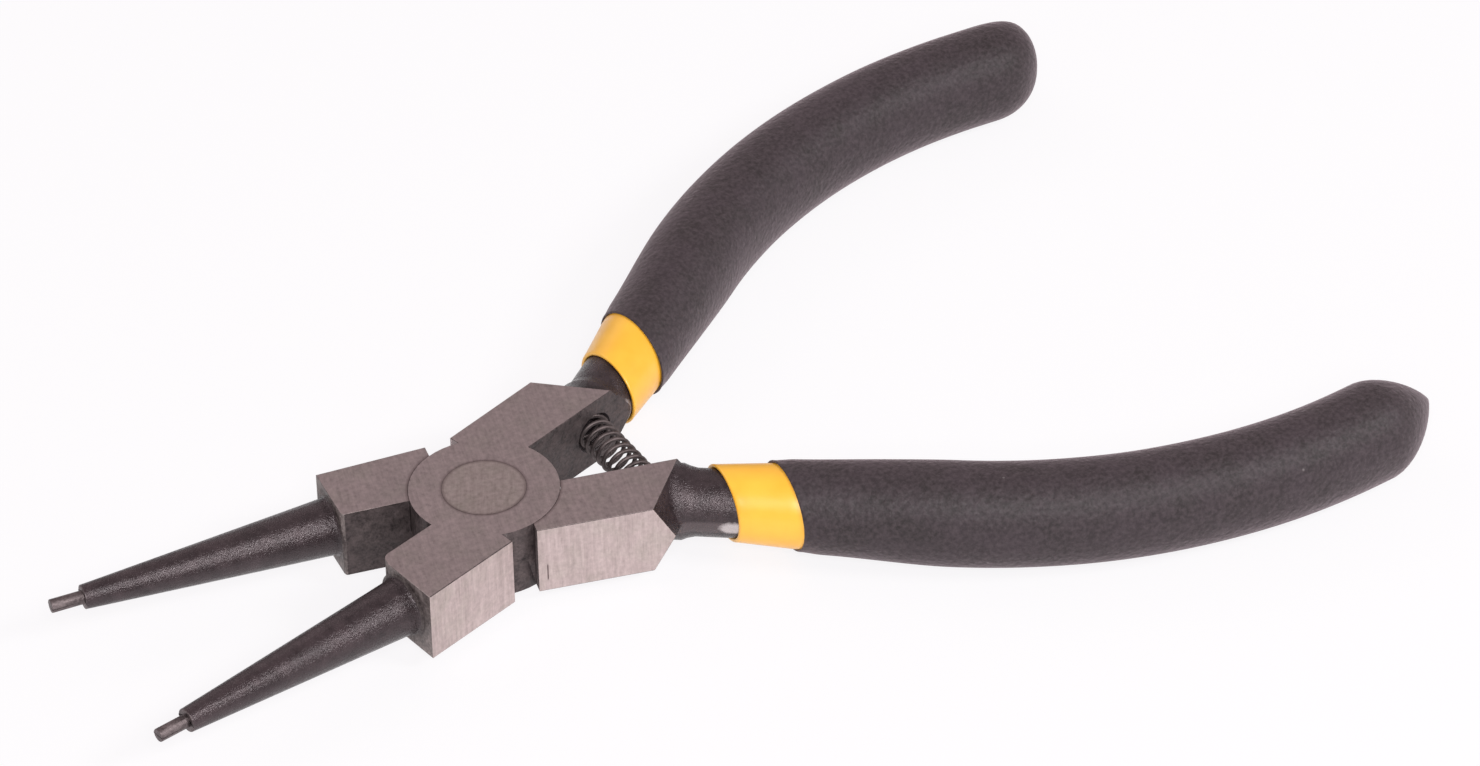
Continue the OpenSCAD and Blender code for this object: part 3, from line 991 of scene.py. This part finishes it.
# Spring between the two bodies, shared out evenly along its length
rings, spring_l = spring_rings()
verts, faces = loft(rings, rings[0].mean(axis=0), rings[-1].mean(axis=0))
spring = mesh_piece("coil_spring", verts * MM, faces)
spring.data.materials.append(spring_mat)
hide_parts("return_spring")
foot = (SPRING_X * MM, -spring_l / 2 * MM, HALF_T * MM)
head = (SPRING_X * MM, spring_l / 2 * MM, HALF_T * MM)
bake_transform(spring, "lower", "upper", start=foot, end=head)
even_share = spring.data.attributes["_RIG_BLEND"].data
for vert, share in zip(spring.data.vertices, even_share):
    share.value = min(1.0, max(0.0, (vert.co.y - foot[1]) / (head[1] - foot[1])))

# Pale floor under the grips, white to the camera and in reflections
FLOOR_HALF = 3.0
FLOOR_DROP = 0.00005
FLOOR_MATTE = (0.9, 0.89, 0.9, 1)
FLOOR_GLOW = (0.99, 0.975, 0.99, 1)
GLOW_SHARE = 0.88
floor_z = min(cad_box[0].z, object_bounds()[0].z) - FLOOR_DROP
corners = [(x * FLOOR_HALF, y * FLOOR_HALF, floor_z) for x, y in ((-1, -1), (1, -1), (1, 1), (-1, 1))]
floor_me = bpy.data.meshes.new("floor")
floor_me.from_pydata(corners, [], [(0, 1, 2, 3)])
floor = add_object("floor", floor_me)
floor_mat = bpy.data.materials.new("floor_white")
floor_mat.use_nodes = True
floor_nodes = floor_mat.node_tree.nodes
floor_nodes.clear()
surface = floor_nodes.new("ShaderNodeOutputMaterial")
matte = floor_nodes.new("ShaderNodeBsdfDiffuse")
matte.inputs["Color"].default_value = FLOOR_MATTE
glow = floor_nodes.new("ShaderNodeEmission")
glow.inputs["Color"].default_value = FLOOR_GLOW
rays = floor_nodes.new("ShaderNodeLightPath")
either = maths(floor_mat, "MAXIMUM", rays.outputs["Is Camera Ray"], rays.outputs["Is Glossy Ray"])
shown = maths(floor_mat, "MAXIMUM", either, rays.outputs["Is Transmission Ray"])
floor_mix = floor_nodes.new("ShaderNodeMixShader")
wire(floor_mat, maths(floor_mat, "MULTIPLY", shown, GLOW_SHARE), floor_mix.inputs[0])
wire(floor_mat, matte.outputs[0], floor_mix.inputs[1])
wire(floor_mat, glow.outputs[0], floor_mix.inputs[2])
wire(floor_mat, floor_mix.outputs[0], surface.inputs["Surface"])
floor_me.materials.append(floor_mat)

# Soft light from the front on both sides, a weak one from the rear, and a pale sky
LIGHT_AIM = Vector((0.03, 0, 0))
WHITE = (1, 1, 1)
ROSE = (1, 0.88, 0.88)
SKY = (1.0, 0.885, 0.895, 1)
SKY_STRENGTH = 0.38


def softbox(name, place, size, power, colour=WHITE):
    data = bpy.data.lights.new(name, "AREA")
    data.shape = "RECTANGLE"
    data.size = size[0]
    data.size_y = size[1]
    data.energy = power
    data.color = colour
    lamp = add_object(name, data)
    lamp.location = place
    lamp.rotation_euler = (LIGHT_AIM - Vector(place)).to_track_quat("-Z", "Y").to_euler()


softbox("key", place=(-0.35, -0.75, 0.75), size=(0.4, 0.4), power=8.4)
softbox("fill", place=(0.55, -0.62, 0.66), size=(0.3, 0.25), power=5.0)
softbox("rear", place=(-0.2, 0.8, 0.7), size=(0.8, 0.4), power=1.5, colour=ROSE)

world = bpy.data.worlds.new("studio")
world.use_nodes = True
sky = world.node_tree.nodes["Background"]
sky.inputs["Color"].default_value = SKY
sky.inputs["Strength"].default_value = SKY_STRENGTH
bpy.context.scene.world = world
bpy.context.scene.view_settings.view_transform = "Standard"

# Camera of the photograph
FOCAL_PX = 6600
IMAGE_W = 1480
SENSOR = 36.0
CAM_AZ = math.radians(-31.092)
CAM_EL = math.radians(38.572)
CAM_ROLL = math.radians(-1.007)
CAM_DIST = 0.86886
CAM_AIM = Vector((0.04214, 0.00598, 0.005075))
back = Vector((
    math.sin(CAM_AZ) * math.cos(CAM_EL),
    -math.cos(CAM_AZ) * math.cos(CAM_EL),
    math.sin(CAM_EL),
))
right = (-back).cross(Vector((0, 0, 1))).normalized()
up = right.cross(-back)
across = right * math.cos(CAM_ROLL) + up * math.sin(CAM_ROLL)
upward = up * math.cos(CAM_ROLL) - right * math.sin(CAM_ROLL)
stand = CAM_AIM + back * CAM_DIST
cam_data = bpy.data.cameras.new("camera")
cam_data.sensor_fit = "HORIZONTAL"
cam_data.sensor_width = SENSOR
cam_data.lens = FOCAL_PX * SENSOR / IMAGE_W
camera = add_object("camera", cam_data)
camera.matrix_world = Matrix((
    (across.x, upward.x, back.x, stand.x),
    (across.y, upward.y, back.y, stand.y),
    (across.z, upward.z, back.z, stand.z),
    (0, 0, 0, 1),
))
bpy.context.scene.camera = camera
